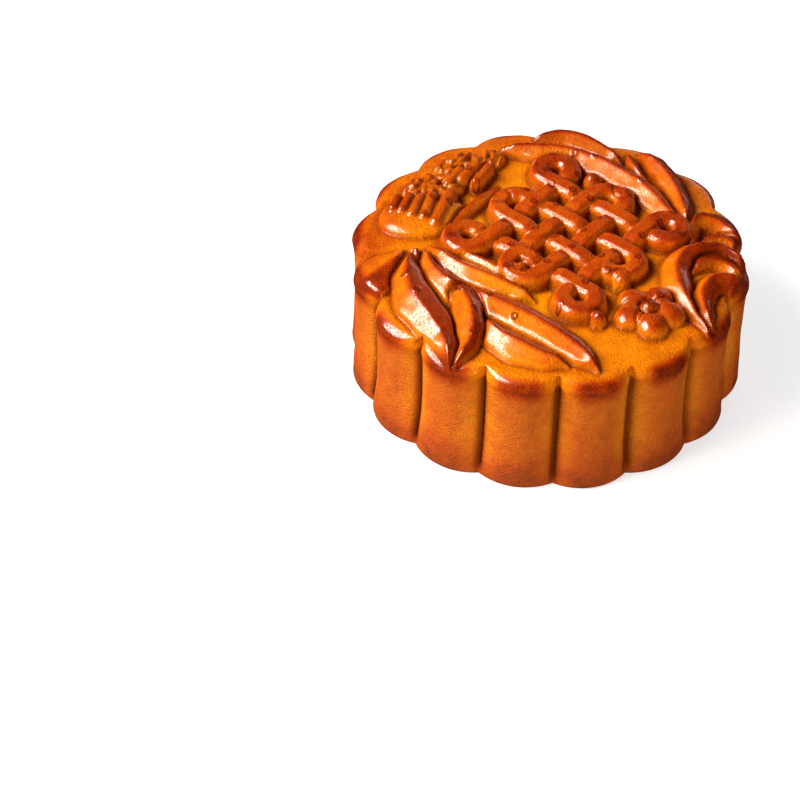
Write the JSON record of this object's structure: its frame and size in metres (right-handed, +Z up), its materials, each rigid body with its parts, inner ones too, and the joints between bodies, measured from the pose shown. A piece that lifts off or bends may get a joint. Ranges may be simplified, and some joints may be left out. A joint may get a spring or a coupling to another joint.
{
  "type": "mooncake",
  "caption": "Round baked mooncake with fluted sides and a moulded top of leaves, a woven knot, petals and beads; stands flat on its base.",
  "frame": {"origin": "middle of the flat base, on the surface that the cake stands on", "axes": "+Z up; -Y is the side that faces the viewer of the picture"},
  "size_m": [0.0796, 0.0792, 0.032],
  "materials": {
    "crust": "baked, egg-washed pastry crust, caramel brown, satin on the raised parts"
  },
  "bodies": {
    "root": {"mooncake": "crust"}
  },
  "joints": []
}
